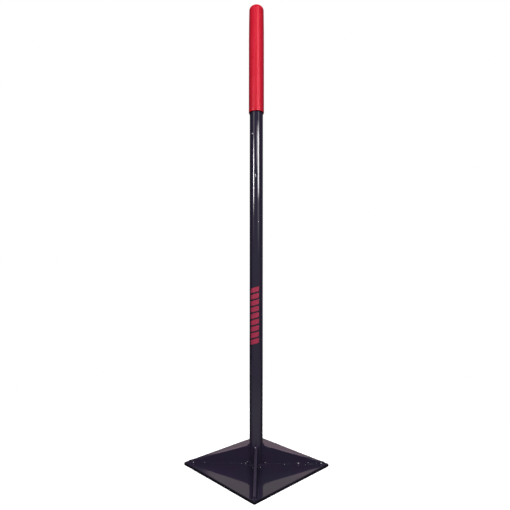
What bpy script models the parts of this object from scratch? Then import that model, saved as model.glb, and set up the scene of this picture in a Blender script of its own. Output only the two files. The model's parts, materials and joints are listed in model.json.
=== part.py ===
"""Hand tamper: a square steel foot plate, braced by four diagonal gussets and welded to an upright
steel tube with a push-on vinyl grip.

Metres, +Z up. The origin is the centre of the plate's underside, which stands on the ground. The
plate's sides run along X and Y, so its corners and the gussets lie on the diagonals.
"""

import math

import bmesh
import bpy
from mathutils import Matrix, Vector

# Driving dimensions, in metres
OVERALL_HEIGHT = 1.143  # ground to the top of the grip
PLATE_SIDE = 0.254
PLATE_THICKNESS = 0.0064
TUBE_DIAMETER = 0.033
TUBE_WALL = 0.002
GRIP_LENGTH = 0.267
GRIP_DIAMETER = 0.038
GUSSET_THICKNESS = 0.0064
GUSSET_HEIGHT = 0.0452  # at the tube, above the plate
GUSSET_TOE_HEIGHT = 0.0041  # of its blunt outer end
GUSSET_REACH = 0.168  # from the tube's axis to the outer end
PLATE_WELD_LEG = 0.0035  # beads between the gussets and the plate
TUBE_WELD_LEG = 0.0042  # beads between the gussets and the tube
FOOT_WELD_LEG = 0.005  # bead round the tube's foot
MARK_SPAN = (0.3, 0.444)  # heights of the printed mark's lower and upper ends
MARK_FACING = -58.2  # degrees from +X, the side of the tube that carries the mark
MARK_WIDTH = 90.0  # degrees round the tube
MARK_THICKNESS = 0.0002

GAP = 0.0003  # clearance between pieces that touch
EDGE_ROUND = 0.0008  # softened edges of the cut steel
CORNER_ROUND = 0.0015  # vertical corners of the plate

# The grip's own proportions
GRIP_TOP_DIAMETER = 0.0364
GRIP_TAPER_LENGTH = 0.102
GRIP_SHOULDER = 0.0095
GRIP_CROWN = 0.0028  # thickness of the closed top
GRIP_RIM_ROUND = 0.0007
TUBE_TOP_BELOW_GRIP = 0.0112

ROUND_STEPS = 64
ARC_STEPS = 8
BEAD_TURN_STEPS = 3
SMOOTH_ANGLE = 30.0  # degrees: flatter edges are shaded smooth and left unbevelled
BEAD_BULGE = 0.62  # how far a bead's face swells, as a share of its leg; 0.5 would be flat

TUBE_RADIUS = TUBE_DIAMETER / 2
PLATE_TOP = PLATE_THICKNESS
GUSSET_FOOT = PLATE_TOP + GAP
GUSSET_START = TUBE_RADIUS + GAP
HALF_GUSSET = GUSSET_THICKNESS / 2

DIAGONALS = {"front": -45.0, "right": 45.0, "back": 135.0, "left": 225.0}


def clear_scene():
    for item in list(bpy.data.objects):
        bpy.data.objects.remove(item)


def surface(name, colour, roughness, metallic=0.0):
    material = bpy.data.materials.new(name)
    material.use_nodes = True
    shader = material.node_tree.nodes["Principled BSDF"]
    shader.inputs["Base Color"].default_value = (*colour, 1.0)
    shader.inputs["Roughness"].default_value = roughness
    shader.inputs["Metallic"].default_value = metallic
    return material


def add_object(name, mesh, material, parent):
    mesh.materials.append(material)
    mesh.shade_smooth()
    mesh.set_sharp_from_angle(angle=math.radians(SMOOTH_ANGLE))
    item = bpy.data.objects.new(name, mesh)
    bpy.context.scene.collection.objects.link(item)
    item.parent = parent
    return item


def mesh_from(name, points, faces):
    mesh = bpy.data.meshes.new(name)
    mesh.from_pydata([tuple(point) for point in points], [], faces)
    shape = bmesh.new()
    shape.from_mesh(mesh)
    bmesh.ops.recalc_face_normals(shape, faces=shape.faces)
    shape.to_mesh(mesh)
    shape.free()
    return mesh


def round_edges(item, width):
    bevel = item.modifiers.new("rounded_edges", "BEVEL")
    bevel.width = width
    bevel.segments = 2
    bevel.limit_method = "ANGLE"
    bevel.angle_limit = math.radians(SMOOTH_ANGLE)


def turned(name, profile, closed, material, parent):
    """A turned piece: the outline, as (radius, height) points, is swept round the Z axis. It runs down
    its outer side and up its inner side."""
    count = len(profile)
    edges = [(index, (index + 1) % count) for index in range(count if closed else count - 1)]
    mesh = bpy.data.meshes.new(name)
    mesh.from_pydata([(radius, 0.0, height) for radius, height in profile], edges, [])
    item = add_object(name, mesh, material, parent)
    screw = item.modifiers.new("turned_outline", "SCREW")
    screw.axis = "Z"
    screw.angle = math.tau
    screw.steps = ROUND_STEPS
    screw.render_steps = ROUND_STEPS
    screw.use_merge_vertices = True
    screw.merge_threshold = 0.00001
    screw.use_smooth_shade = True
    return item


def arc(centre, radius, start, end, steps=ARC_STEPS):
    """Points on an arc about centre, as (radius, height), from start to end in degrees."""
    points = []
    for step in range(steps + 1):
        angle = math.radians(start + (end - start) * step / steps)
        points.append((centre[0] + radius * math.cos(angle), centre[1] + radius * math.sin(angle)))
    return points


def base_plate(material, parent):
    shape = bmesh.new()
    bmesh.ops.create_cube(shape, size=1.0)
    bmesh.ops.scale(shape, vec=(PLATE_SIDE, PLATE_SIDE, PLATE_THICKNESS), verts=shape.verts)
    uprights = [e for e in shape.edges if abs(e.verts[0].co.z - e.verts[1].co.z) > PLATE_THICKNESS / 2]
    bmesh.ops.bevel(shape, geom=uprights, offset=CORNER_ROUND, segments=3, profile=0.5, affect="EDGES")
    mesh = bpy.data.meshes.new("base_plate")
    shape.to_mesh(mesh)
    shape.free()
    item = add_object("base_plate", mesh, material, parent)
    item.location = (0.0, 0.0, PLATE_THICKNESS / 2)
    round_edges(item, EDGE_ROUND)


def handle_tube(material, parent):
    inner = TUBE_RADIUS - TUBE_WALL
    low = PLATE_TOP + GAP
    high = OVERALL_HEIGHT - TUBE_TOP_BELOW_GRIP
    profile = [(TUBE_RADIUS, high), (TUBE_RADIUS, low), (inner, low), (inner, high)]
    turned("handle_tube", profile, True, material, parent)


def hand_grip(material, parent):
    top = OVERALL_HEIGHT
    rim = OVERALL_HEIGHT - GRIP_LENGTH
    outer = GRIP_DIAMETER / 2
    top_radius = GRIP_TOP_DIAMETER / 2
    bore = TUBE_RADIUS + GAP
    seat = top - TUBE_TOP_BELOW_GRIP + GAP
    dome = TUBE_TOP_BELOW_GRIP - GAP - GRIP_CROWN  # radius of the hollow's rounded upper corner
    profile = [(0.0, top)]
    profile += arc((top_radius - GRIP_SHOULDER, top - GRIP_SHOULDER), GRIP_SHOULDER, 90.0, 0.0)
    profile += [(outer, top - GRIP_TAPER_LENGTH)]
    profile += arc((outer - GRIP_RIM_ROUND, rim + GRIP_RIM_ROUND), GRIP_RIM_ROUND, 0.0, -90.0, 3)
    profile += [(bore, rim)]
    profile += arc((bore - dome, seat), dome, 0.0, 90.0)
    profile += [(0.0, seat + dome)]
    turned("hand_grip", profile, False, material, parent)


def gusset_top(reach):
    """Height of a gusset's sloping edge at a distance from the tube's axis."""
    share = (reach - GUSSET_START) / (GUSSET_REACH - GUSSET_START)
    return PLATE_TOP + GUSSET_HEIGHT + (GUSSET_TOE_HEIGHT - GUSSET_HEIGHT) * share


def gusset(side, material, parent):
    outline = [
        (GUSSET_START, GUSSET_FOOT),
        (GUSSET_REACH, GUSSET_FOOT),
        (GUSSET_REACH, gusset_top(GUSSET_REACH)),
        (GUSSET_START, gusset_top(GUSSET_START)),
    ]
    shape = bmesh.new()
    corners = [shape.verts.new((reach, -HALF_GUSSET, height)) for reach, height in outline]
    face = shape.faces.new(corners)
    extruded = bmesh.ops.extrude_face_region(shape, geom=[face])
    moved = [part for part in extruded["geom"] if isinstance(part, bmesh.types.BMVert)]
    bmesh.ops.translate(shape, vec=(0.0, GUSSET_THICKNESS, 0.0), verts=moved)
    bmesh.ops.recalc_face_normals(shape, faces=shape.faces)
    mesh = bpy.data.meshes.new(f"gusset_{side}")
    shape.to_mesh(mesh)
    shape.free()
    item = add_object(f"gusset_{side}", mesh, material, parent)
    item.rotation_euler = (0.0, 0.0, math.radians(DIAGONALS[side]))
    round_edges(item, EDGE_ROUND / 2)


def swept_bead(name, sections, material, parent, heading):
    """A bead of weld: equal cross-sections, each a loop of points, joined end to end and capped."""
    size = len(sections[0])
    points = [point for section in sections for point in section]
    faces = []
    for index in range(len(sections) - 1):
        first = index * size
        second = first + size
        for corner in range(size):
            following = (corner + 1) % size
            faces.append((first + corner, first + following, second + following, second + corner))
    faces.append(tuple(range(size)))
    faces.append(tuple(range(len(points) - size, len(points))))
    mesh = mesh_from(name, points, faces)
    item = add_object(name, mesh, material, parent)
    item.rotation_euler = (0.0, 0.0, math.radians(heading))


def bead_outline(leg):
    """Cross-section of a fillet bead: two square legs and a face that swells between their ends. The
    second leg has a point halfway, so that it can bend round the tube."""
    bulge = leg * BEAD_BULGE
    return [(0.0, 0.0), (leg, 0.0), (bulge, bulge), (0.0, leg), (0.0, leg / 2)]


def swung(outline, heading):
    """An outline of (radius, height) points, stood up at a heading in degrees round the Z axis."""
    spin = Matrix.Rotation(math.radians(heading), 3, "Z")
    return [spin @ Vector((radius, 0.0, height)) for radius, height in outline]


def turn(start, end):
    """Directions that swing from start to end, in degrees, for a bead that goes round a corner."""
    for step in range(BEAD_TURN_STEPS + 1):
        angle = math.radians(start + (end - start) * step / BEAD_TURN_STEPS)
        yield math.cos(angle), math.sin(angle)


def plate_weld(side, material, parent):
    """Round the foot of a gusset: along one side, round the outer end and back along the other."""
    start = GUSSET_START + FOOT_WELD_LEG + GAP
    stations = [((start, -HALF_GUSSET), (0.0, -1.0))]
    stations += [((GUSSET_REACH, -HALF_GUSSET), away) for away in turn(-90.0, 0.0)]
    stations += [((GUSSET_REACH, HALF_GUSSET), away) for away in turn(0.0, 90.0)]
    stations += [((start, HALF_GUSSET), (0.0, 1.0))]
    sections = []
    for corner, away in stations:
        section = []
        for out, up in bead_outline(PLATE_WELD_LEG):
            reach = corner[0] + away[0] * (GAP + out)
            across = corner[1] + away[1] * (GAP + out)
            section.append(Vector((reach, across, PLATE_TOP + GAP + up)))
        sections.append(section)
    swept_bead(f"weld_plate_{side}", sections, material, parent, DIAGONALS[side])


def tube_weld(side, material, parent):
    """Between a gusset and the tube: up one side, over the gusset's top and down the other side."""
    low = PLATE_TOP + FOOT_WELD_LEG + 2 * GAP
    stations = [(-HALF_GUSSET, (-1.0, 0.0), low)]
    stations += [(-HALF_GUSSET, away, None) for away in turn(180.0, 90.0)]
    stations += [(HALF_GUSSET, away, None) for away in turn(90.0, 0.0)]
    stations += [(HALF_GUSSET, (1.0, 0.0), low)]
    sections = []
    for edge, away, height in stations:
        section = []
        for along, out in bead_outline(TUBE_WELD_LEG):
            across = edge + away[0] * (GAP + out)
            reach = math.sqrt((TUBE_RADIUS + GAP) ** 2 - across ** 2) + along
            base = gusset_top(reach) if height is None else height
            section.append(Vector((reach, across, base + away[1] * (GAP + out))))
        sections.append(section)
    swept_bead(f"weld_tube_{side}", sections, material, parent, DIAGONALS[side])


def foot_weld(side, next_side, material, parent):
    """Round a quarter of the tube's foot, between two gussets."""
    inner = TUBE_RADIUS + GAP
    clear = math.degrees(math.asin((HALF_GUSSET + GAP) / inner))
    outline = [(inner + out, PLATE_TOP + GAP + up) for out, up in bead_outline(FOOT_WELD_LEG)]
    step_angle = (90.0 - 2 * clear) / ARC_STEPS
    sections = [swung(outline, clear + step_angle * step) for step in range(ARC_STEPS + 1)]
    swept_bead(f"weld_foot_{side}_{next_side}", sections, material, parent, DIAGONALS[side])


def tube_mark(material, parent):
    """The printed mark, as a thin curved film on the side of the tube."""
    inner = TUBE_RADIUS + GAP
    outer = inner + MARK_THICKNESS
    low, high = MARK_SPAN
    outline = [(inner, low), (outer, low), (outer, high), (inner, high)]
    step_angle = MARK_WIDTH / ARC_STEPS
    sections = [swung(outline, step_angle * step - MARK_WIDTH / 2) for step in range(ARC_STEPS + 1)]
    swept_bead("tube_mark", sections, material, parent, MARK_FACING)


def main():
    clear_scene()
    tamper = bpy.data.objects.new("hand_tamper", None)
    bpy.context.scene.collection.objects.link(tamper)

    enamel = surface("black_enamel", (0.012, 0.009, 0.017), 0.12)
    bead = surface("enamelled_weld", (0.014, 0.011, 0.019), 0.22)
    vinyl = surface("red_vinyl", (0.6, 0.02, 0.035), 0.42)
    ink = surface("red_ink", (0.33, 0.035, 0.08), 0.35)

    base_plate(enamel, tamper)
    handle_tube(enamel.copy(), tamper)
    hand_grip(vinyl, tamper)
    tube_mark(ink, tamper)
    sides = list(DIAGONALS)
    for index, side in enumerate(sides):
        gusset(side, enamel.copy(), tamper)
        plate_weld(side, bead.copy(), tamper)
        tube_weld(side, bead.copy(), tamper)
        foot_weld(side, sides[(index + 1) % len(sides)], bead.copy(), tamper)


main()
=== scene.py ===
"""Looks of the hand tamper: glossy black enamelled steel, lumpy weld beads, a red vinyl grip and a
generic printed mark, on a plain pale floor in soft studio light.

Metres, +Z up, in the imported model's own frame: the origin is the centre of the foot plate's underside
and the gussets lie on the plate's diagonals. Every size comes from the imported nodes.
"""

import json
import math
import random

import bmesh
import bpy
from mathutils import Matrix, Vector, noise

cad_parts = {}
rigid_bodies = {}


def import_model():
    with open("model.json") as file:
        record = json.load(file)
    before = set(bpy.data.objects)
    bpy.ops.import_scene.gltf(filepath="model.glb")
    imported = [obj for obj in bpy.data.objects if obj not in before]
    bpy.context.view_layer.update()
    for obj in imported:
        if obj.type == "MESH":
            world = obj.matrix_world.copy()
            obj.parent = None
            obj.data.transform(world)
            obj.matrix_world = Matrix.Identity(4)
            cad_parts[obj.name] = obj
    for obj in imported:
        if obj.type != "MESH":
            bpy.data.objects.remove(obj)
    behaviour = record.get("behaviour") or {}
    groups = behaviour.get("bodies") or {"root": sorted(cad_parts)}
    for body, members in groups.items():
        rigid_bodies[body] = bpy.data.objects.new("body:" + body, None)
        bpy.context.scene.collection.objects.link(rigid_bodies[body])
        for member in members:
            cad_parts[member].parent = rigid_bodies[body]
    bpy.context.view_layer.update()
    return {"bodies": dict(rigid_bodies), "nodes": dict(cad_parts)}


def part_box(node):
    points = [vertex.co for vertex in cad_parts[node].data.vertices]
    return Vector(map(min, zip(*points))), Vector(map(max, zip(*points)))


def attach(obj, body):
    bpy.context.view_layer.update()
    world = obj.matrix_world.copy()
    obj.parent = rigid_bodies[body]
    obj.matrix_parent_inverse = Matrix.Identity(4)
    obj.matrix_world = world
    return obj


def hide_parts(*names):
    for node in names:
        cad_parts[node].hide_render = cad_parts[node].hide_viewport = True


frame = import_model()

DIAGONALS = {"front": -45.0, "right": 45.0, "back": 135.0, "left": 225.0}
SIDES = list(DIAGONALS)

# Camera: before the plate's near corner, close and wide, and a little below the tool's middle
VIEW_AZIMUTH = 46.145  # degrees
VIEW_DISTANCE = 0.999  # from the tube's axis
VIEW_HEIGHT = 0.4476
VIEW_PITCH = 0.629  # degrees upward
VIEW_TURN = 0.176  # degrees to the left, which frames the tube a little right of centre
VIEW_ROLL = 0.05  # degrees clockwise
VIEW_LENS = 28.33  # mm, on a 36 mm sensor
VIEW_SHIFT = 0.0498

# Light: levels of the studio as the diffuse surfaces and the gloss see it
WORLD_DIFFUSE = 0.09
WORLD_HORIZON = 0.23
WORLD_OVERHEAD = 0.07
GROUND_NEAR = 0.45

# The heat of welding seems to have drawn the plate into a shallow bowl. Only its reflections show it, so
# it is a bump in the enamel.
BOWL_CENTRE = (-0.014, 0.014, 0.0)
BOWL = 0.095  # metres of rise per square metre out from the centre

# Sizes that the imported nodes' boxes don't give, and details too small for the CAD model
TUBE_WALL = 0.002
TUBE_ROW = 0.006  # between the tube's rings of points
TUBE_SEGMENTS = 96
GRIP_SEGMENTS = 128
PLATE_EDGE = 0.0009  # rounding of the plate's edges under the enamel
PLATE_CORNER = 0.002
PLATE_UNEVENNESS = 0.00012
GUSSET_EDGE = 0.0006
CLEARANCE = 0.0003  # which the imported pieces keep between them

# Weld beads
RIPPLE_PITCH = 0.0024
BEAD_STEP = 0.0005
BEAD_SINK = 0.0003  # how far a bead runs into the steel at its edges
BEAD_ANGLES = 9

# Enamelled droplets of spatter tried for each gusset, and how far they fly on average
PLATE_SPATTER = 22
GUSSET_SPATTER = 9
TUBE_SPATTER = 7
SPATTER_FLIGHT = 0.004

# How full the beads over the gussets' tops are
CROWNS = {"front": 0.7, "right": 0.95, "back": 0.8, "left": 0.45}

# Droplets of spatter that have lost their enamel, on the bead at each gusset's foot. Their pale bare metal
# colour is partly a painted glint, standing in for sparkles of light. Columns: distance from the tube's axis
# in mm, side of the gusset, spot across the bead (0 at the gusset, 1 at the bead's outer edge on the plate,
# more than 1 further out, and below 0 up on the gusset) and radius in mm
BARE_GLINT_DROPLETS = {
    "front": [(22, 1, 2.1, 0.7), (27, -1, 1.4, 0.3)],
    "right": [(22, -1, 0.25, 0.6), (70, -1, 1.1, 0.7), (88, 1, 0.4, 0.8), (104, -1, 0.4, 1.4),
              (121, -1, 1.1, 0.4), (128, -1, 0.1, 0.6), (148, -1, 0.2, 0.5), (160, -1, 0.3, 1.3)],
    "back": [(41, 1, 0.4, 0.6), (96, -1, 0.4, 0.9), (133, 1, 0.5, 0.5)],
    "left": [(17, 1, -0.35, 0.7), (21, 1, -0.2, 0.6), (25, 1, 0.7, 0.8), (36, 1, 0.8, 0.3),
             (64, -1, 0.4, 0.9), (127, 1, 0.5, 0.3), (139, -1, 0.5, 0.6), (155, 1, 0.5, 0.9)],
}
# A droplet in the pale bare metal colour on the front gusset's crest, partly a painted glint
CREST_DROPLET_GLINT = (20.0, -1.4, 1.2)  # on the front gusset: distance, distance to the side, and radius, in mm

ENAMEL_CASTS = ((0.0215, 0.0148, 0.033), (0.0195, 0.0168, 0.032))  # purple and navy

# Edges of the enamel: a painted tone and how much rougher it is. The tone is painted shade, darker, on the
# plate's rim and painted light, lighter, on the gussets' tops
# Plate's rim: painted shade, darker, and duller
RIM_PAINTED_SHADE = ((0.006, 0.005, 0.008), 0.2)
# Gussets' tops: scuffed rougher, and lighter with painted light
SCUFF_AND_PAINTED_LIGHT = ((0.029, 0.022, 0.041), 0.1)

# Flecks and short scratches in the tube's enamel, in the pale bare metal colour, which is partly a painted
# glint: heading in degrees, height in m, radius in mm, and how many times as tall as it is wide
GLINT_FLECKS = [(-79, 0.82, 1.8, 1), (-50, 0.716, 0.5, 9), (-60, 0.706, 0.4, 1), (-25, 0.602, 0.4, 2),
          (80, 0.61, 0.6, 1), (170, 0.34, 0.5, 2), (230, 0.78, 0.5, 1)]

# Printed mark: each ink's lift off the tube and thickness, and the mesh of a patch of ink
OUTLINE_INK = (0.00003, 0.00005)
BAR_INK = (0.0001, 0.00006)
PRINT_COLUMNS = 14
PRINT_ROW = 0.012


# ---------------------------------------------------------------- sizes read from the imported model


def in_line(node, heading):
    """The node's points, turned so that the diagonal at this heading lies along +X."""
    turn = Matrix.Rotation(-math.radians(heading), 3, "Z")
    return [turn @ vertex.co for vertex in frame["nodes"][node].data.vertices]


def gusset_sizes():
    """A gusset's start and reach from the tube's axis, half thickness, and heights, all in metres."""
    points = in_line("gusset_front", DIAGONALS["front"])
    reach = max(point.x for point in points)
    return {
        "start": min(point.x for point in points),
        "reach": reach,
        "half": max(point.y for point in points),
        "foot": min(point.z for point in points),
        "crest": max(point.z for point in points),
        "toe": max(point.z for point in points if point.x > reach - 0.001),
    }


PLATE_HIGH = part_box("base_plate")[1]
TUBE_LOW, TUBE_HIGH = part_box("handle_tube")
GRIP_LOW, GRIP_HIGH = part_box("hand_grip")
MARK_LOW, MARK_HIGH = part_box("tube_mark")
GUSSET = gusset_sizes()
PLATE_TOP = PLATE_HIGH.z
PLATE_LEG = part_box("weld_plate_front")[1].z - PLATE_TOP - CLEARANCE
FOOT_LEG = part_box("weld_foot_front_right")[1].z - PLATE_TOP - CLEARANCE
TUBE_LEG = max(p.y for p in in_line("weld_tube_front", DIAGONALS["front"])) - GUSSET["half"] - CLEARANCE
TUBE_RADIUS = TUBE_HIGH.x
MARK_FACING = math.atan2(MARK_LOW.y + MARK_HIGH.y, MARK_LOW.x + MARK_HIGH.x)


def gusset_top(reach):
    """The height of a gusset's sloping top at this distance from the tube's axis."""
    share = (reach - GUSSET["start"]) / (GUSSET["reach"] - GUSSET["start"])
    return GUSSET["crest"] + (GUSSET["toe"] - GUSSET["crest"]) * share


# ---------------------------------------------------------------- materials


def add_node(tree, kind, inputs=None, **settings):
    """Adds a shader node. An input given as a socket is linked, and any other value is set."""
    made = tree.nodes.new(kind)
    for key, value in settings.items():
        setattr(made, key, value)
    for key, value in (inputs or {}).items():
        if isinstance(value, bpy.types.NodeSocket):
            tree.links.new(value, made.inputs[key])
        else:
            made.inputs[key].default_value = value
    return made


def new_material(name, **sockets):
    """A material with these values on its shader, as (material, node tree, shader)."""
    material = bpy.data.materials.new(name)
    material.use_nodes = True
    shader = material.node_tree.nodes["Principled BSDF"]
    for key, value in sockets.items():
        shader.inputs[key.replace("_", " ")].default_value = value
    return material, material.node_tree, shader


def clouds(tree, place, scale, detail=2.0, roughness=0.5):
    """Soft noise from 0 to 1, with scale features to the metre."""
    settings = {"Vector": place, "Scale": scale, "Detail": detail, "Roughness": roughness}
    return add_node(tree, "ShaderNodeTexNoise", settings).outputs["Fac"]


def ranged(tree, value, source, target):
    """Maps value from the source range to the target range, smoothly and clamped."""
    settings = {"Value": value, "From Min": source[0], "From Max": source[1]}
    settings.update({"To Min": target[0], "To Max": target[1]})
    made = add_node(tree, "ShaderNodeMapRange", settings, interpolation_type="SMOOTHSTEP")
    return made.outputs["Result"]


def maths(tree, operation, first, second):
    """One step of arithmetic on sockets or numbers."""
    return add_node(tree, "ShaderNodeMath", {0: first, 1: second}, operation=operation).outputs[0]


def between(tree, share, first, second):
    """A colour from first to second, by share."""
    made = add_node(tree, "ShaderNodeMix", {"Factor": share}, data_type="RGBA")
    for index, colour in ((6, first), (7, second)):
        if isinstance(colour, bpy.types.NodeSocket):
            tree.links.new(colour, made.inputs[index])
        else:
            made.inputs[index].default_value = (*colour, 1.0)
    return made.outputs[2]


def specks(tree, place, scale, share, radius):
    """Round specks, 1 at their centres and 0 between them. A share of the cells holds one."""
    cells = add_node(tree, "ShaderNodeTexVoronoi", {"Vector": place, "Scale": scale})
    dots = ranged(tree, cells.outputs["Distance"], (0.0, radius * scale), (1.0, 0.0))
    pick = add_node(tree, "ShaderNodeSeparateColor", {"Color": cells.outputs["Color"]}).outputs["Red"]
    return maths(tree, "MULTIPLY", dots, maths(tree, "LESS_THAN", pick, share))


def raised(tree, shader, heights):
    """Adds up heights in metres, given as (pattern, amount) pairs, and bumps the surface by them."""
    total = None
    for pattern, amount in heights:
        height = maths(tree, "MULTIPLY", pattern, amount)
        total = height if total is None else maths(tree, "ADD", total, height)
    bump = add_node(tree, "ShaderNodeBump", {"Height": total, "Distance": 1.0, "Strength": 1.0})
    tree.links.new(bump.outputs["Normal"], shader.inputs["Normal"])


def enamel(name, peel=0.000012, waves=0.00006, roughness=(0.045, 0.085), shine=0.5, tone=1.0,
           bowl=0.0, edge=None):
    """Black stoving enamel over steel: a faint navy and purple cast, orange peel, dust nibs, smudges.
    peel and waves are heights in metres, shine is the specular level, tone scales the colour, and bowl
    is how steeply the surface rises out from BOWL_CENTRE. Where a mesh's "edge" attribute is above 0
    the enamel is duller and its colour is blended towards a painted tone: painted shade on the plate's
    rim, painted light on the gussets' tops. Small chips come in as the attribute nears 1. edge gives that
    painted tone and how much rougher it is there."""
    material, tree, shader = new_material(name, IOR=1.5, Specular_IOR_Level=shine)
    place = add_node(tree, "ShaderNodeTexCoord").outputs["Object"]
    cast = ranged(tree, clouds(tree, place, 17.0, 3.0), (0.35, 0.65), (0.0, 1.0))
    purple, navy = [[part * tone for part in cast_colour] for cast_colour in ENAMEL_CASTS]
    colour = between(tree, cast, purple, navy)
    gloss = ranged(tree, clouds(tree, place, 60.0, 4.0, 0.6), (0.45, 0.72), roughness)
    nibs = specks(tree, place, 85.0, 0.1, 0.0004)
    if edge:
        painted_shading, dulling = edge
        rim = add_node(tree, "ShaderNodeAttribute", attribute_name="edge").outputs["Fac"]
        patches = ranged(tree, clouds(tree, place, 150.0, 3.0), (0.2, 0.6), (0.6, 1.0))
        flakes = ranged(tree, clouds(tree, place, 420.0, 3.0, 0.6), (0.66, 0.7), (0.0, 1.0))
        corner = ranged(tree, rim, (0.8, 1.0), (0.0, 1.0))
        # Blends in the edge tone: painted shade that darkens the plate's rim, painted light that lightens
        # the gussets' tops
        colour = between(tree, maths(tree, "MULTIPLY", rim, patches), colour, painted_shading)
        colour = between(tree, maths(tree, "MULTIPLY", corner, flakes), colour, (0.16, 0.145, 0.15))
        gloss = maths(tree, "ADD", gloss, maths(tree, "MULTIPLY", rim, dulling))
    tree.links.new(colour, shader.inputs["Base Color"])
    tree.links.new(gloss, shader.inputs["Roughness"])
    fine = clouds(tree, place, 330.0, 2.0)
    broad = clouds(tree, place, 48.0, 1.0)
    heights = [(fine, peel), (broad, waves), (nibs, 0.00005)]
    if bowl:
        centre = add_node(tree, "ShaderNodeVectorMath", {0: place, 1: BOWL_CENTRE}, operation="SUBTRACT")
        length = add_node(tree, "ShaderNodeVectorMath", {0: centre.outputs[0]}, operation="LENGTH")
        squared = maths(tree, "POWER", length.outputs["Value"], 2.0)
        heights.append((squared, bowl))
    raised(tree, shader, heights)
    return material


def vinyl():
    """Dipped red vinyl: satin, faintly uneven, with a fine grain and rubbed-in dust."""
    material, tree, shader = new_material("satin_red_vinyl", IOR=1.42)
    shader.inputs["Specular Tint"].default_value = (1.0, 0.42, 0.42, 1.0)
    place = add_node(tree, "ShaderNodeTexCoord").outputs["Object"]
    mottle = ranged(tree, clouds(tree, place, 38.0, 4.0, 0.6), (0.3, 0.7), (0.0, 1.0))
    colour = between(tree, mottle, (0.475, 0.0085, 0.024), (0.505, 0.0105, 0.03))
    dust = specks(tree, place, 260.0, 0.06, 0.00025)
    colour = between(tree, maths(tree, "MULTIPLY", dust, 0.5), colour, (0.26, 0.006, 0.012))
    tree.links.new(colour, shader.inputs["Base Color"])
    satin = ranged(tree, clouds(tree, place, 90.0, 4.0, 0.6), (0.3, 0.75), (0.27, 0.36))
    tree.links.new(satin, shader.inputs["Roughness"])
    grain = clouds(tree, place, 1500.0, 2.0)
    lumps = clouds(tree, place, 70.0, 2.0)
    raised(tree, shader, [(grain, 0.000012), (lumps, 0.00005)])
    return material


def bare_metal_glints():
    """Oxidised weld metal and pale dust, where the enamel has come off or been pierced. Its pale colour is
    partly a painted glint: these specks stand in for sparkles of light.
    """
    material, tree, shader = new_material("bare_metal_glints", Metallic=0.15, IOR=1.5)
    place = add_node(tree, "ShaderNodeTexCoord").outputs["Object"]
    painted_shading = clouds(tree, place, 900.0, 3.0)
    colour = between(tree, painted_shading, (0.62, 0.6, 0.64), (0.74, 0.72, 0.76))
    tree.links.new(colour, shader.inputs["Base Color"])
    tree.links.new(ranged(tree, painted_shading, (0.3, 0.7), (0.3, 0.5)), shader.inputs["Roughness"])
    raised(tree, shader, [(clouds(tree, place, 1800.0, 2.0), 0.00002)])
    return material


def ink(name, thin, full, roughness):
    """Screen-printed ink: a little uneven in cover, with a slight texture of its own."""
    material, tree, shader = new_material(name, IOR=1.48)
    place = add_node(tree, "ShaderNodeTexCoord").outputs["Object"]
    cover = ranged(tree, clouds(tree, place, 500.0, 4.0, 0.65), (0.35, 0.6), (0.0, 1.0))
    tree.links.new(between(tree, cover, thin, full), shader.inputs["Base Color"])
    gloss = ranged(tree, cover, (0.0, 1.0), (roughness + 0.08, roughness))
    tree.links.new(gloss, shader.inputs["Roughness"])
    raised(tree, shader, [(clouds(tree, place, 700.0, 2.0), 0.00001)])
    return material


# ---------------------------------------------------------------- pieces


def finished_piece(name, shape, materials, replaced):
    """Makes a piece from a bmesh, smooth but for its sharp edges, riding on the one rigid body."""
    bmesh.ops.recalc_face_normals(shape, faces=shape.faces)
    mesh = bpy.data.meshes.new(name)
    shape.to_mesh(mesh)
    shape.free()
    for material in materials:
        mesh.materials.append(material)
    mesh.shade_smooth()
    mesh.set_sharp_from_angle(angle=math.radians(50.0))
    piece = bpy.data.objects.new(name, mesh)
    bpy.context.scene.collection.objects.link(piece)
    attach(piece, next(iter(frame["bodies"])))
    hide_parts(*replaced)
    return piece


def add_rings(shape, rings, capped=True):
    """Joins equal loops of points into a skin, with a face over each end if it is capped."""
    loops = [[shape.verts.new(point) for point in ring] for ring in rings]
    for first, second in zip(loops, loops[1:]):
        for index in range(len(first)):
            after = (index + 1) % len(first)
            shape.faces.new((first[index], first[after], second[after], second[index]))
    if capped:
        shape.faces.new(loops[0])
        shape.faces.new(loops[-1])
    return loops


def quarter(steps):
    """Angles from 0 to 90 degrees, in radians, for a rounded edge."""
    return [math.radians(90.0 * step / steps) for step in range(steps + 1)]


def rounded_square(half, corner, height, side_points=36, corner_points=6):
    """A loop of points round a square with rounded corners."""
    points = []
    flat = half - corner
    for quadrant in range(4):
        turn = Matrix.Rotation(math.pi / 2 * quadrant, 3, "Z")
        for step in range(side_points):
            along = flat * (2 * step / side_points - 1)
            points.append(turn @ Vector((half, along, height)))
        for step in range(corner_points):
            angle = math.pi / 2 * step / corner_points
            across = flat + corner * math.cos(angle)
            points.append(turn @ Vector((across, flat + corner * math.sin(angle), height)))
    return points


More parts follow.
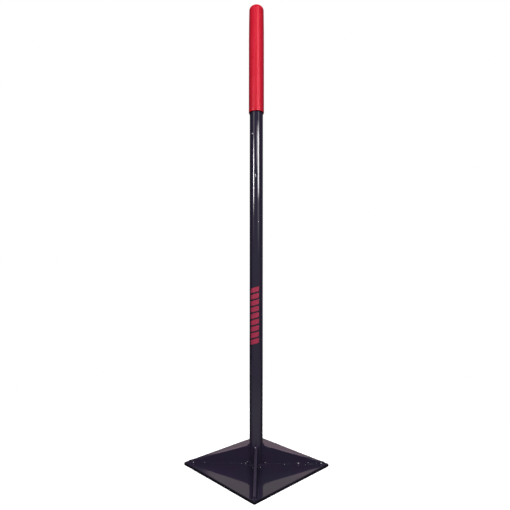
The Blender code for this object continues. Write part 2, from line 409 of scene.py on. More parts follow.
def foot_plate(material):
    """The square plate, with rounded edges and a top that welding has pulled very slightly uneven. Its
    rim is darkened with painted shade, most of all near the corners, where small chips also show."""
    half = PLATE_HIGH.x
    thick = PLATE_TOP
    # Each face has rings of points this far in from its rim
    insets = [0.0025, 0.006, 0.012, 0.02, 0.03, 0.041, 0.053, 0.066, 0.08, 0.094, 0.108, 0.12]
    outline = [(inset, 0.0) for inset in reversed(insets)]
    outline += [(PLATE_EDGE * (1 - math.sin(a)), PLATE_EDGE * (1 - math.cos(a))) for a in quarter(5)]
    outline += [(PLATE_EDGE * (1 - math.cos(a)), thick - PLATE_EDGE * (1 - math.sin(a))) for a in quarter(5)]
    outline += [(inset, thick) for inset in insets]
    rings = []
    for inset, height in outline:
        size = half - inset
        ring = rounded_square(size, PLATE_CORNER * size / half, height)
        if height > thick / 2:
            for point in ring:
                point.z -= PLATE_UNEVENNESS * max(0.0, noise.noise(point * 22.0))
        rings.append(ring)
    shape = bmesh.new()
    edge = shape.verts.layers.float.new("edge")
    loops = add_rings(shape, rings)
    # The edge attribute marks the rim for painted shade, strongest at the corners, where it also lets chips
    # show
    for (inset, _), loop in zip(outline, loops):
        for vertex in loop:
            near_corner = min(abs(vertex.co.x), abs(vertex.co.y)) > half - 0.02
            vertex[edge] = (1.0 if near_corner else 0.8) if inset < PLATE_EDGE * 0.7 else 0.0
    return finished_piece("foot_plate", shape, [material], ["base_plate"])


def shaft(material, bare_glint_metal):
    """The steel tube: drawn, so very nearly but not perfectly even, and open at both ends. It carries
    the flecks in its enamel, whose pale colour is partly a painted glint."""
    rows = round((TUBE_HIGH.z - TUBE_LOW.z) / TUBE_ROW)
    heights = [TUBE_LOW.z + (TUBE_HIGH.z - TUBE_LOW.z) * row / rows for row in range(rows + 1)]
    outline = [(TUBE_RADIUS, height) for height in heights]
    outline += [(TUBE_RADIUS - TUBE_WALL, height) for height in reversed(heights[:: rows // 4])]
    rings = []
    for radius, height in outline:
        ring = []
        for step in range(TUBE_SEGMENTS):
            angle = math.tau * step / TUBE_SEGMENTS
            out = Vector((math.cos(angle), math.sin(angle), 0.0))
            unevenness = noise.noise(Vector((out.x * 1.3, out.y * 1.3, height * 16.0)))
            ring.append(out * (radius - 0.00003 * (1 + unevenness)) + Vector((0.0, 0.0, height)))
        rings.append(ring)
    shape = bmesh.new()
    loops = add_rings(shape, rings, capped=False)
    for index in range(TUBE_SEGMENTS):
        after = (index + 1) % TUBE_SEGMENTS
        shape.faces.new((loops[-1][index], loops[-1][after], loops[0][after], loops[0][index]))
    # Flecks in the pale bare metal material: partly painted glints
    for index, (heading, height, radius, stretch) in enumerate(GLINT_FLECKS):
        centre = turned_to(heading, Vector((TUBE_RADIUS - radius / 5000, 0.0, height)))
        add_lump(shape, centre, radius / 1000, index * 3.7, 1, stretch)
    return finished_piece("tube_shaft", shape, [material, bare_glint_metal], ["handle_tube"])


def arc(centre, radius, first, last, steps):
    """Points of an outline as (radius, height), on an arc between two angles in degrees from level."""
    points = []
    for step in range(steps + 1):
        angle = math.radians(first + (last - first) * step / steps)
        points.append((centre[0] + radius * math.cos(angle), centre[1] + radius * math.sin(angle)))
    return points


def grip_outline():
    """The grip's outline as (radius, height): from the crown down its outside and up its inside."""
    top = GRIP_HIGH.z
    rim = GRIP_LOW.z
    outer = GRIP_HIGH.x
    top_outer = outer - 0.00075
    taper_end = top - 0.102
    shoulder = 0.0095
    rim_round = 0.0009
    bore = TUBE_RADIUS + 0.0001
    bore_edge = 0.0004
    dome = 0.0081
    seat = TUBE_HIGH.z + 0.0003
    middle = 0.0004  # the innermost rings, whose faces close the crown and the bore
    shoulder_low = top - shoulder
    outline = [(middle, top), (0.004, top)]
    outline += arc((top_outer - shoulder, shoulder_low), shoulder, 90.0, 0.0, 12)
    for step in range(1, 11):
        share = step / 10
        swell = math.sin(share * math.pi / 2)
        height = shoulder_low + (taper_end - shoulder_low) * share
        outline.append((top_outer + (outer - top_outer) * swell, height))
    for step in range(1, 25):
        outline.append((outer, taper_end + (rim + rim_round - taper_end) * step / 24))
    outline += arc((outer - rim_round, rim + rim_round), rim_round, 0.0, -90.0, 6)[1:]
    outline += [(bore + bore_edge, rim), (bore, rim + bore_edge)]
    outline += arc((bore - dome, seat), dome, 0.0, 90.0, 8)
    outline.append((middle, seat + dome))
    return outline


def grip_sleeve(material):
    """The push-on grip: dipped vinyl, so its surface wanders by a tenth of a millimetre."""
    rings = []
    for radius, height in grip_outline():
        ring = []
        for step in range(GRIP_SEGMENTS):
            angle = math.tau * step / GRIP_SEGMENTS
            out = Vector((math.cos(angle), math.sin(angle), 0.0))
            wander = noise.noise(Vector((out.x * 0.9, out.y * 0.9, height * 30.0)))
            inward = 0.00006 * (1 + wander) if radius > TUBE_RADIUS + 0.001 else 0.0
            ring.append(out * (radius - inward) + Vector((0.0, 0.0, height)))
        rings.append(ring)
    shape = bmesh.new()
    add_rings(shape, rings)
    return finished_piece("grip_sleeve", shape, [material], ["hand_grip"])


def gusset_plate(side, material):
    """A sheared steel triangle with a blunt outer end, scuffed rougher along its top and lighter there with
    painted light, a little less of both at the toe.
    """
    outline = [
        (GUSSET["start"], GUSSET["foot"]),
        (GUSSET["reach"], GUSSET["foot"]),
        (GUSSET["reach"], GUSSET["toe"]),
        (GUSSET["start"], GUSSET["crest"]),
    ]
    shape = bmesh.new()
    edge = shape.verts.layers.float.new("edge")
    faces = []
    for across in (-GUSSET["half"], GUSSET["half"]):
        faces.append([shape.verts.new((reach, across, height)) for reach, height in outline])
    for index in range(len(outline)):
        after = (index + 1) % len(outline)
        shape.faces.new((faces[0][index], faces[0][after], faces[1][after], faces[1][index]))
    shape.faces.new(faces[0])
    shape.faces.new(faces[1])
    bmesh.ops.bevel(shape, geom=shape.edges[:], offset=GUSSET_EDGE, segments=4, profile=0.5, affect="EDGES")
    # The edge attribute marks each gusset's top for scuffing and painted light, less towards the toe
    for vertex in shape.verts:
        on_top = gusset_top(vertex.co.x) - vertex.co.z < GUSSET_EDGE / 3
        scuff_and_light_share = 0.86 if vertex.co.x > GUSSET["reach"] / 2 else 1.0
        vertex[edge] = scuff_and_light_share if on_top else 0.0
    turn = Matrix.Rotation(math.radians(DIAGONALS[side]), 3, "Z")
    bmesh.ops.rotate(shape, matrix=turn, verts=shape.verts)
    piece = finished_piece(f"gusset_steel_{side}", shape, [material], [f"gusset_{side}"])
    piece.modifiers.new("even_faces", "WEIGHTED_NORMAL").keep_sharp = True
    return piece


# ---------------------------------------------------------------- weld beads


def turned_to(heading, point):
    """The point turned about the tube's axis, from +X to this heading in degrees."""
    return Matrix.Rotation(math.radians(heading), 3, "Z") @ point


def marks_along(lengths, stops):
    """Pairs each stop's values with its distance along the bead, from the lengths between the stops."""
    marks = []
    travelled = 0.0
    for stop, length in zip(stops, lengths + [0.0]):
        marks.append((travelled, stop))
        travelled += length
    return marks


def bead_stations(marks):
    """Splits the runs between marks into even steps. A mark is (distance, values to blend)."""
    stations = []
    for (low, first), (high, second) in zip(marks, marks[1:]):
        count = max(1, round((high - low) / BEAD_STEP))
        for index in range(count):
            share = index / count
            values = [a + (b - a) * share for a, b in zip(first, second)]
            stations.append((low + (high - low) * share, values))
    stations.append((marks[-1][0], list(marks[-1][1])))
    return stations


def wobble(distance, seed, scale, row):
    """Smooth noise from -1 to 1 along a bead. Each row is another run of it."""
    return noise.noise(Vector((distance * scale, seed, row)))


def bead_profile(beat, size, lean, quick):
    """The bead's rippled face, as (along the first surface, up the second) from edge to edge. beat
    counts the ripples passed so far, and they curve back at the bead's middle."""
    points = []
    for index in range(BEAD_ANGLES):
        share = index / (BEAD_ANGLES - 1)
        angle = math.pi / 2 * share
        flat = 1.0 / (math.cos(angle) + math.sin(angle))
        arch = math.sin(math.pi * share)
        ripple = abs(math.sin(math.pi * (beat + 0.45 * arch + 0.25 * quick))) - 0.6
        bow = 0.08 + 0.92 * flat + 0.03 * ripple * arch + 0.03 * quick * arch
        reach = size * bow
        along = reach * math.cos(angle) * (1 + lean) - BEAD_SINK * share
        up = reach * math.sin(angle) * (1 - lean) - BEAD_SINK * (1 - share)
        points.append((along, up))
    return points


def add_bead(shape, marks, place, leg, seed):
    """Adds a rippled fillet bead. place(values, a, b) gives the point a from the corner along the
    first surface and b along the second, at a station's values."""
    stations = bead_stations(marks)
    length = stations[-1][0]
    rings = []
    for distance, values in stations:
        from_end = min(distance, length - distance) / leg
        taper = math.sqrt(max(0.03, min(1.0, from_end) * (2 - min(1.0, from_end))))
        slow = wobble(distance, seed, 110.0, 0.0)
        quick = wobble(distance, seed, 420.0, 5.0)
        lean = 0.12 * wobble(distance, seed, 90.0, 9.0)
        size = leg * (1.0 + 0.14 * slow + 0.04 * quick) * taper
        profile = bead_profile(distance / RIPPLE_PITCH, size, lean, quick)
        ring = [place(values, -BEAD_SINK, -BEAD_SINK)]
        ring += [place(values, along, up) for along, up in profile]
        rings.append(ring)
    add_rings(shape, rings)


def add_lump(shape, centre, radius, seed, layer=0, stretch=1):
    """A droplet or fleck stuck to the steel: an uneven ball, stretch times as tall as it is wide, in the
    piece's material at layer."""
    made = bmesh.ops.create_icosphere(shape, subdivisions=2, radius=radius)
    for vertex in made["verts"]:
        uneven = noise.noise(vertex.co * (0.9 / radius) + Vector((seed, seed * 2.0, 0.0)))
        vertex.co *= 1 + 0.22 * uneven
        vertex.co.z *= stretch
        vertex.co += centre
        for face in vertex.link_faces:
            face.material_index = layer


def add_bare_glint_droplets(shape, side, draw):
    """Adds the droplets that have lost their enamel, in the piece's second material, whose pale colour is
    partly a painted glint.
    """
    for out, beside, spot, radius in BARE_GLINT_DROPLETS[side]:
        across = beside * (GUSSET["half"] + PLATE_LEG * max(0.0, spot))
        height = PLATE_TOP + max(radius / 2000, PLATE_LEG * (1.1 - spot))
        centre = turned_to(DIAGONALS[side], Vector((out / 1000, across, height)))
        add_lump(shape, centre, radius / 1000, draw.uniform(0, 50), 1)
    if side == "front":
        out, across, radius = [value / 1000 for value in CREST_DROPLET_GLINT]
        centre = turned_to(DIAGONALS[side], Vector((out, across, gusset_top(out) + radius)))
        add_lump(shape, centre, radius, draw.uniform(0, 50), 1)


def add_plate_spatter(shape, side, draw, start):
    """Scatters droplets over the plate beside a gusset. Those that would miss the plate are left out."""
    half = GUSSET["half"]
    limit = PLATE_HIGH.x * math.sqrt(2) - 0.002
    for _ in range(PLATE_SPATTER):
        across = (half + PLATE_LEG * 0.7 + draw.expovariate(1 / SPATTER_FLIGHT)) * draw.choice((-1, 1))
        out = draw.uniform(start + 0.004, GUSSET["reach"] + 0.004)
        radius = draw.uniform(0.0002, 0.0006)
        centre = Vector((out, across, PLATE_TOP + radius * 0.35))
        if abs(across) < half + 0.016 and out + abs(across) < limit:
            add_lump(shape, turned_to(DIAGONALS[side], centre), radius, draw.uniform(0, 50))


def add_gusset_spatter(shape, side, draw, start):
    """Scatters droplets over a gusset's two faces, above the bead at its foot."""
    for _ in range(GUSSET_SPATTER):
        out = draw.uniform(start + 0.006, GUSSET["reach"] - 0.03)
        radius = draw.uniform(0.0002, 0.00055)
        height = PLATE_TOP + PLATE_LEG + draw.expovariate(1 / SPATTER_FLIGHT)
        if height < gusset_top(out) - 0.002:
            centre = Vector((out, (GUSSET["half"] + radius * 0.3) * draw.choice((-1, 1)), height))
            add_lump(shape, turned_to(DIAGONALS[side], centre), radius, draw.uniform(0, 50))


def add_tube_spatter(shape, side, draw):
    """Scatters droplets over the tube beside a gusset."""
    for _ in range(TUBE_SPATTER):
        angle = draw.choice((-1, 1)) * draw.uniform(0.5, 0.78)
        radius = draw.uniform(0.00025, 0.0006)
        height = PLATE_TOP + draw.uniform(0.008, 0.055)
        out = Vector((math.cos(angle), math.sin(angle), 0.0)) * (TUBE_RADIUS + radius * 0.3)
        centre = turned_to(DIAGONALS[side], out) + Vector((0.0, 0.0, height))
        add_lump(shape, centre, radius, draw.uniform(0, 50))


def plate_bead(side, material, bare_glint_metal):
    """The bead round a gusset's foot, with the spatter that its welding threw on the plate."""
    start = TUBE_RADIUS + FOOT_LEG / 2
    reach = GUSSET["reach"]
    half = GUSSET["half"]
    bend = PLATE_LEG * math.pi / 2
    lengths = [reach - start, bend, 2 * half, bend, reach - start]
    stops = [(start, -half, -90.0), (reach, -half, -90.0), (reach, -half, 0.0)]
    stops += [(reach, half, 0.0), (reach, half, 90.0), (start, half, 90.0)]

    def place(values, along, up):
        reach_here, across, angle = values
        away = Vector((math.cos(math.radians(angle)), math.sin(math.radians(angle)), 0.0))
        corner = Vector((reach_here, across, PLATE_TOP))
        return turned_to(DIAGONALS[side], corner + away * along + Vector((0.0, 0.0, up)))

    seed = 11.0 + SIDES.index(side) * 7.0
    draw = random.Random(round(seed) + 2)
    shape = bmesh.new()
    add_bead(shape, marks_along(lengths, stops), place, PLATE_LEG, seed)
    add_bare_glint_droplets(shape, side, draw)
    add_plate_spatter(shape, side, draw, start)
    add_gusset_spatter(shape, side, draw, start)
    replaced = [f"weld_plate_{side}"]
    return finished_piece(f"bead_plate_{side}", shape, [material, bare_glint_metal], replaced)


def tube_bead(side, crown, material):
    """The bead between a gusset and the tube: up one side, over the top and down the other side. crown
    is how full the bead is over the top."""
    half = GUSSET["half"]
    low = PLATE_TOP + FOOT_LEG / 2
    rise = gusset_top(TUBE_RADIUS) - low
    top = low + rise
    bend = TUBE_LEG * math.pi / 2
    lengths = [rise, bend, 2 * half, bend, rise]
    stops = [(-half, low, 180.0), (-half, top, 180.0), (-half, top, 90.0)]
    stops += [(half, top, 90.0), (half, top, 0.0), (half, low, 0.0)]

    def place(values, along, out):
        edge, height, angle = values
        across = edge + out * math.cos(math.radians(angle))
        over = max(0.0, math.sin(math.radians(angle)))
        reach = math.sqrt(TUBE_RADIUS ** 2 - across ** 2) + along
        slope = gusset_top(reach) - gusset_top(TUBE_RADIUS)
        up = height + slope * over + out * over * crown
        return turned_to(DIAGONALS[side], Vector((reach, across, up)))

    seed = 53.0 + SIDES.index(side) * 5.0
    shape = bmesh.new()
    add_bead(shape, marks_along(lengths, stops), place, TUBE_LEG, seed)
    add_tube_spatter(shape, side, random.Random(round(seed)))
    replaced = [f"weld_tube_{side}"]
    return finished_piece(f"bead_tube_{side}", shape, [material], replaced)


def foot_bead(side, next_side, material):
    """A quarter of the bead round the tube's foot."""
    leg = FOOT_LEG
    margin = math.degrees(math.asin(GUSSET["half"] / TUBE_RADIUS)) + 2.0
    sweep = math.radians(90.0 - 2 * margin)
    marks = [(0.0, (margin,)), (sweep * (TUBE_RADIUS + leg / 2), (90.0 - margin,))]

    def place(values, along, up):
        out = Vector((TUBE_RADIUS + along, 0.0, PLATE_TOP + up))
        return turned_to(DIAGONALS[side] + values[0], out)

    shape = bmesh.new()
    seed = 97.0 + SIDES.index(side) * 3.0
    add_bead(shape, marks, place, leg, seed)
    name = f"{side}_{next_side}"
    return finished_piece(f"bead_foot_{name}", shape, [material], [f"weld_foot_{name}"])


# ---------------------------------------------------------------- the printed mark


def ink_skin(shape, span, radius, slant):
    """Adds the points of a slanted patch at this radius, as columns of rows."""
    low, high, first, last = span
    rows = max(1, round((high - low) / PRINT_ROW))
    skin = []
    for column in range(PRINT_COLUMNS + 1):
        turn = first + (last - first) * column / PRINT_COLUMNS
        angle = MARK_FACING + math.radians(turn)
        rise = slant * TUBE_RADIUS * math.radians(turn)
        out = Vector((math.cos(angle), math.sin(angle), 0.0)) * radius
        heights = [low + (high - low) * row / rows + rise for row in range(rows + 1)]
        skin.append([shape.verts.new(out + Vector((0.0, 0.0, height))) for height in heights])
    return skin


def add_print(shape, spans, layer_of_ink, slant, material_index):
    """Adds slanted patches of ink on the tube. A span is (low, high, from angle, to angle), with
    heights in metres and angles in degrees round from the mark's middle."""
    lift, thickness = layer_of_ink
    for span in spans:
        inner = ink_skin(shape, span, TUBE_RADIUS + lift, slant)
        outer = ink_skin(shape, span, TUBE_RADIUS + lift + thickness, slant)
        columns = PRINT_COLUMNS
        rows = len(inner[0]) - 1
        made = []
        for skin in (inner, outer):
            for a, b in zip(skin, skin[1:]):
                made += [shape.faces.new((a[r], b[r], b[r + 1], a[r + 1])) for r in range(rows)]
        rim = [(c, 0) for c in range(columns)] + [(columns, r) for r in range(rows)]
        rim += [(c, rows) for c in range(columns, 0, -1)] + [(0, r) for r in range(rows, 0, -1)]
        for (c, r), (d, s) in zip(rim, rim[1:] + rim[:1]):
            made.append(shape.faces.new((inner[c][r], inner[d][s], outer[d][s], outer[c][r])))
        for face in made:
            face.material_index = material_index


def printed_mark(red, dark):
    """A generic mark: a row of equal slanted bars over a dark outline, as wide as half_width degrees
    to each side of its middle."""
    low = MARK_LOW.z
    high = MARK_HIGH.z
    bars = 9
    gap = 0.0042
    outline = 0.0007
    slant = 0.28
    half_width = 38.0
    margin = slant * TUBE_RADIUS * math.radians(half_width)
    pitch = (high - low - 2 * margin + gap) / bars
    spans = []
    for index in range(bars):
        start = low + margin + pitch * index
        spans.append((start, start + pitch - gap, -half_width, half_width))
    grow = math.degrees(outline / TUBE_RADIUS)
    backs = [(a - outline, b + outline, c - grow, d + grow) for a, b, c, d in spans]
    shape = bmesh.new()
    add_print(shape, backs, OUTLINE_INK, slant, 1)
    add_print(shape, spans, BAR_INK, slant, 0)
    return finished_piece("printed_bars", shape, [red, dark], ["tube_mark"])


# ---------------------------------------------------------------- studio


WHITE = (1.0, 1.0, 1.0)
WARM = (1.0, 0.87, 0.83)
ROSY = (1.0, 0.72, 0.82)
DIM = (0.15, 0.14, 0.17)
BLACK = (0.0, 0.0, 0.0)

# Glowing cards that only gloss sees: name, lower edge and upper edge as (from turn, to turn, height),
# distance, colour, strength, and the share of the width and of the height over which each edge fades
SOFTBOXES = [
    ("softbox_left", (-52.5, -40.5, 0.86), (-52.5, -40.5, 1.41), 1.5, WHITE, 58.0, (0.38, 0.38)),
    ("softbox_left_spill", (-58.0, -36.0, 0.68), (-58.0, -36.0, 1.58), 1.6, WHITE, 1.0, (0.3, 0.2)),
    ("softbox_left_top", (-60.0, -28.0, 1.36), (-60.0, -28.0, 1.76), 1.58, WHITE, 2.0, (0.35, 0.2)),
    ("softbox_right_top", (24.0, 56.0, 1.4), (24.0, 56.0, 1.76), 1.62, WHITE, 2.2, (0.4, 0.2)),
    ("softbox_right", (27.0, 48.5, 0.94), (16.0, 48.5, 1.46), 1.5, WHITE, 22.0, (0.2, 0.26)),
    ("softbox_right_glow", (2.0, 20.0, 1.15), (-4.0, 20.0, 1.5), 1.6, WHITE, 3.0, (0.3, 0.35)),
    ("softbox_right_spill", (24.0, 56.0, 0.62), (4.0, 52.0, 1.62), 1.9, WHITE, 1.6, (0.35, 0.3)),
    ("softbox_high", (13.0, 33.0, 1.5), (13.0, 33.0, 2.4), 1.5, WHITE, 11.0, (0.35, 0.25)),
    ("backdrop_glow", (167.0, 190.7, 0.3), (167.0, 190.7, 1.7), 1.8, WARM, 0.47, (0.1, 0.1)),
    ("backdrop_low", (166.0, 191.0, 0.3), (166.0, 191.0, 0.82), 1.79, ROSY, 0.85, (0.1, 0.3)),
    ("backdrop_low_right", (166.0, 182.0, 0.3), (166.0, 182.0, 0.82), 1.78, ROSY, 0.8, (0.2, 0.3)),
    ("backdrop_high", (150.0, 210.0, 1.7), (150.0, 210.0, 3.6), 1.75, WARM, 1.7, (0.1, 0.1)),
    ("edge_glow_left", (192.5, 201.5, 0.25), (192.5, 201.5, 0.54), 1.33, ROSY, 0.9, (0.1, 0.15)),
    ("edge_glow_right", (157.0, 167.5, 0.25), (157.0, 167.5, 0.54), 1.33, ROSY, 0.9, (0.1, 0.15)),
]

# Dark cards on each side: the turns of their near edges, and a width that makes each overlap the next
FLAG_TURNS = (75.0, 103.0, 131.0)
FLAG_WIDTH = 28.2  # degrees
FLAG_HEIGHTS = (0.001, 2.6)
FLAG_DISTANCE = 1.4

FLOOR_HALF = 1.6  # half the width of the floor

# Name, turn, distance, height, size, power and the height it is aimed at
LIGHTS = [
    ("key_left", -22.0, 2.6, 2.6, (1.2, 1.6), 80.0, 0.4),
    ("key_right", 22.0, 2.6, 2.6, (1.2, 1.6), 80.0, 0.4),
    ("fill_overhead", 180.0, 0.6, 3.0, (3.0, 3.0), 3.0, 0.0),
    ("rim_left", -160.0, 2.6, 1.4, (1.2, 1.6), 30.0, 0.4),
    ("rim_right", 160.0, 2.6, 1.4, (1.2, 1.6), 30.0, 0.4),
]


def around(turn, distance, height):
    """A point at a turn in degrees to the right of the camera's direction, about the tube's axis."""
    azimuth = math.radians(VIEW_AZIMUTH + turn)
    return Vector((math.sin(azimuth) * distance, -math.cos(azimuth) * distance, height))


def camera():
    """The camera, without depth of field."""
    data = bpy.data.cameras.new("studio_camera")
    data.lens = VIEW_LENS
    data.sensor_width = 36.0
    data.shift_y = VIEW_SHIFT
    data.clip_start = 0.02
    item = bpy.data.objects.new("studio_camera", data)
    item.location = around(0.0, VIEW_DISTANCE, VIEW_HEIGHT)
    heading = math.radians(VIEW_AZIMUTH + VIEW_TURN)
    item.rotation_euler = (math.radians(90.0 + VIEW_PITCH), 0.0, heading)
    item.rotation_euler.rotate_axis("Z", math.radians(VIEW_ROLL))
    bpy.context.scene.collection.objects.link(item)
    bpy.context.scene.camera = item


def round_fade(tree, near, far):
    """The place, and a share that is 1 within near metres of the origin and falls to 0 at far metres."""
    place = add_node(tree, "ShaderNodeTexCoord").outputs["Object"]
    distance = add_node(tree, "ShaderNodeVectorMath", {0: place}, operation="LENGTH").outputs["Value"]
    return place, ranged(tree, distance, (near, far), (1.0, 0.0))


def flat_square(name, half, height, material):
    """A level square of the stage, centred on the tool."""
    mesh = bpy.data.meshes.new(name)
    corners = [(-half, -half, height), (half, -half, height), (half, half, height), (-half, half, height)]
    mesh.from_pydata(corners, [], [(0, 1, 2, 3)])
    mesh.materials.append(material)
    item = bpy.data.objects.new(name, mesh)
    bpy.context.scene.collection.objects.link(item)
    return item


def floor():
    """A pale floor that melts into the white of the studio some way from the tool."""
    material, tree, shader = new_material("pale_floor", Roughness=0.9)
    place, near = round_fade(tree, 0.3, 1.0)
    tone = clouds(tree, place, 3.0, 3.0)
    colour = between(tree, tone, (0.955, 0.955, 0.955), (0.965, 0.965, 0.965))
    tree.links.new(colour, shader.inputs["Base Color"])
    shader.inputs["Specular IOR Level"].default_value = 0.0
    shader.inputs["Emission Color"].default_value = (1.0, 1.0, 1.0, 1.0)
    shader.inputs["Emission Strength"].default_value = 0.35
    clear = add_node(tree, "ShaderNodeBsdfTransparent").outputs[0]
    blend = add_node(tree, "ShaderNodeMixShader", {0: near, 1: clear, 2: shader.outputs[0]})
    tree.links.new(blend.outputs[0], tree.nodes["Material Output"].inputs["Surface"])
    flat_square("studio_floor", FLOOR_HALF, 0.0, material).visible_diffuse = False


def world():
    """White to the camera. Diffuse light comes evenly from it, and the gloss mirrors a dimmer studio
    that is brightest at the horizon."""
    made = bpy.data.worlds.new("studio_world")
    made.use_nodes = True
    tree = made.node_tree
    path = add_node(tree, "ShaderNodeLightPath")
    way = add_node(tree, "ShaderNodeTexCoord").outputs["Generated"]
    height = add_node(tree, "ShaderNodeSeparateXYZ", {0: way}).outputs["Z"]
    mirrored = ranged(tree, height, (0.02, 0.3), (WORLD_HORIZON, WORLD_OVERHEAD))
    total = path.outputs["Is Camera Ray"]
    for ray, strength in (("Glossy", mirrored), ("Diffuse", WORLD_DIFFUSE), ("Transmission", 1.0)):
        share = maths(tree, "MULTIPLY", path.outputs[f"Is {ray} Ray"], strength)
        total = maths(tree, "ADD", total, share)
    background = tree.nodes["Background"]
    background.inputs["Color"].default_value = (1.0, 1.0, 1.0, 1.0)
    tree.links.new(total, background.inputs["Strength"])
    bpy.context.scene.world = made


def empty_material(name):
    """A material with no shader yet, as (material, node tree, output node)."""
    material = bpy.data.materials.new(name)
    material.use_nodes = True
    material.node_tree.nodes.clear()
    output = add_node(material.node_tree, "ShaderNodeOutputMaterial")
    return material, material.node_tree, output


def card_material(name, colour, strength, soft=(0.0, 0.0)):
    """An even glow, or black. soft is the share of the card's width, and of its height, over which each
    edge fades."""
    material, tree, output = empty_material(name)
    glow = add_node(tree, "ShaderNodeEmission", {"Color": (*colour, 1.0), "Strength": strength})
    surface = glow.outputs[0]
    if any(soft):
        place = add_node(tree, "ShaderNodeTexCoord").outputs["UV"]
        middle = (0.5, 0.5, 0.0)
        offset = add_node(tree, "ShaderNodeVectorMath", {0: place, 1: middle}, operation="SUBTRACT")
        parts = add_node(tree, "ShaderNodeSeparateXYZ", {0: offset.outputs[0]})
        fades = []
        for axis, fade in zip("XY", soft):
            distance = maths(tree, "ABSOLUTE", parts.outputs[axis], 0.0)
            fades.append(ranged(tree, distance, (0.5 - fade, 0.5), (1.0, 0.0)))
        share = maths(tree, "MULTIPLY", *fades)
        clear = add_node(tree, "ShaderNodeBsdfTransparent").outputs[0]
        blend = add_node(tree, "ShaderNodeMixShader", {0: share, 1: clear, 2: surface})
        surface = blend.outputs[0]
    tree.links.new(surface, output.inputs["Surface"])
    return material


def upright_card(name, foot, head, distance, material):
    """A card that shows only in gloss: a softbox or a dark flag. foot and head are its lower and upper
    edges, as (from turn, to turn, height), with turns in degrees to the right of the camera."""
    rows = 8
    mesh = bpy.data.meshes.new(name)
    points = []
    for row in range(rows + 1):
        first, last, height = [a + (b - a) * row / rows for a, b in zip(foot, head)]
        points += [around(first, distance, height), around(last, distance, height)]
    mesh.from_pydata(points, [], [(2 * r, 2 * r + 1, 2 * r + 3, 2 * r + 2) for r in range(rows)])
    flat = mesh.uv_layers.new(name="card")
    for loop, place in zip(mesh.loops, flat.data):
        place.uv = (loop.vertex_index % 2, loop.vertex_index // 2 / rows)
    mesh.materials.append(material)
    item = bpy.data.objects.new(name, mesh)
    bpy.context.scene.collection.objects.link(item)
    only_mirrored(item)


def only_mirrored(item):
    """Hides a stage piece from everything but gloss."""
    item.visible_camera = False
    item.visible_diffuse = False
    item.visible_shadow = False
    item.visible_transmission = False


def mirrored_ground(flag):
    """What the gloss sees of the floor: mid grey before the tool, dimmer further off and behind, and
    black close round the plate."""
    material, tree, output = empty_material("mirrored_ground")
    place, near = round_fade(tree, 0.2, 1.2)
    forward = around(0.0, 1.0, 0.0)
    ahead = add_node(tree, "ShaderNodeVectorMath", {0: place, 1: forward}, operation="DOT_PRODUCT")
    lit = ranged(tree, ahead.outputs["Value"], (-0.05, 0.2), (0.12, 1.0))
    level = ranged(tree, near, (0.0, 1.0), (WORLD_HORIZON, GROUND_NEAR))
    glow = add_node(tree, "ShaderNodeEmission", {"Strength": maths(tree, "MULTIPLY", level, lit)})
    tree.links.new(glow.outputs[0], output.inputs["Surface"])
    only_mirrored(flat_square("mirrored_ground", FLOOR_HALF, 0.0004, material))
    only_mirrored(flat_square("flag_under_plate", PLATE_HIGH.x + 0.015, 0.0008, flag))


def area_light(name, turn, distance, height, size, power, aim):
    """A soft light that only matt surfaces see, aimed at the height aim on the tool's axis."""
    data = bpy.data.lights.new(name, "AREA")
    data.shape = "RECTANGLE"
    data.size, data.size_y = size
    data.energy = power
    item = bpy.data.objects.new(name, data)
    item.location = around(turn, distance, height)
    way = Vector((0.0, 0.0, aim)) - item.location
    item.rotation_euler = way.to_track_quat("-Z", "Y").to_euler()
    item.visible_camera = False
    item.visible_glossy = False
    bpy.context.scene.collection.objects.link(item)


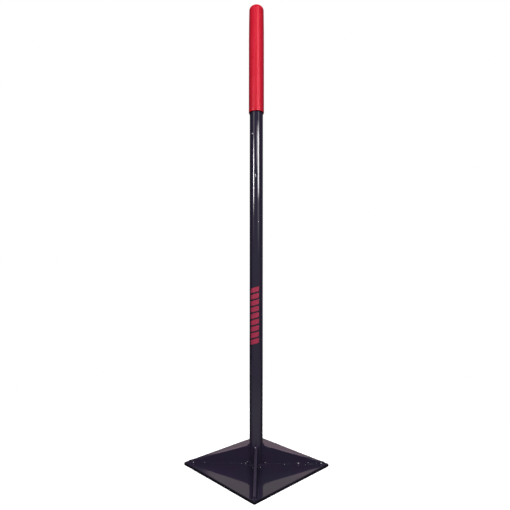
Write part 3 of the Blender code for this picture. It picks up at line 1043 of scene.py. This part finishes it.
def flags(flag):
    """Black cards round the sides, which keep the bright horizon out of the gloss. One is only dim."""
    dim_flag = card_material("dim_flag", DIM, 1.0)
    for side in (-1, 1):
        for index, turn in enumerate(FLAG_TURNS):
            name = f"flag_{'left' if side < 0 else 'right'}_{index}"
            foot, head = [(side * turn, side * (turn + FLAG_WIDTH), height) for height in FLAG_HEIGHTS]
            material = dim_flag if side > 0 and index == 1 else flag
            upright_card(name, foot, head, FLAG_DISTANCE, material)


def studio():
    """All that lights the tool or shows in its gloss, apart from the world and the floor."""
    for name, foot, head, distance, colour, strength, soft in SOFTBOXES:
        upright_card(name, foot, head, distance, card_material(name, colour, strength, soft))
    flag = card_material("black_flag", BLACK, 0.0)
    flags(flag)
    mirrored_ground(flag)
    for light in LIGHTS:
        area_light(*light)


# ---------------------------------------------------------------- the whole tool


def tamper():
    """Every piece of the tool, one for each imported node."""
    foot_plate(enamel("plate_enamel", peel=0.000006, waves=0.00004, bowl=BOWL, edge=RIM_PAINTED_SHADE))
    # Pale bare metal for droplets and flecks, partly painted glints
    bare_glint_metal = bare_metal_glints()
    shaft(enamel("tube_enamel", peel=0.000008, waves=0.00005, roughness=(0.03, 0.06)), bare_glint_metal)
    grip_sleeve(vinyl())
    red = ink("red_ink", (0.27, 0.018, 0.048), (0.36, 0.024, 0.068), 0.34)
    dark = ink("outline_ink", (0.02, 0.006, 0.01), (0.035, 0.008, 0.014), 0.3)
    printed_mark(red, dark)
    gusset_enamel = enamel("gusset_enamel", peel=0.000014, waves=0.00006, edge=SCUFF_AND_PAINTED_LIGHT)
    bead_enamel = enamel("bead_enamel", peel=0.00002, waves=0.0, roughness=(0.16, 0.3), shine=0.15, tone=1.1)
    plate_bead_enamel = enamel(
        "plate_bead_enamel", peel=0.00002, waves=0.0, roughness=(0.16, 0.3), shine=0.12, tone=0.7
    )
    for index, side in enumerate(SIDES):
        gusset_plate(side, gusset_enamel)
        plate_bead(side, plate_bead_enamel, bare_glint_metal)
        tube_bead(side, CROWNS[side], bead_enamel)
        foot_bead(side, SIDES[(index + 1) % len(SIDES)], bead_enamel)


bpy.context.scene.view_settings.view_transform = "Standard"
camera()
world()
floor()
studio()
tamper()
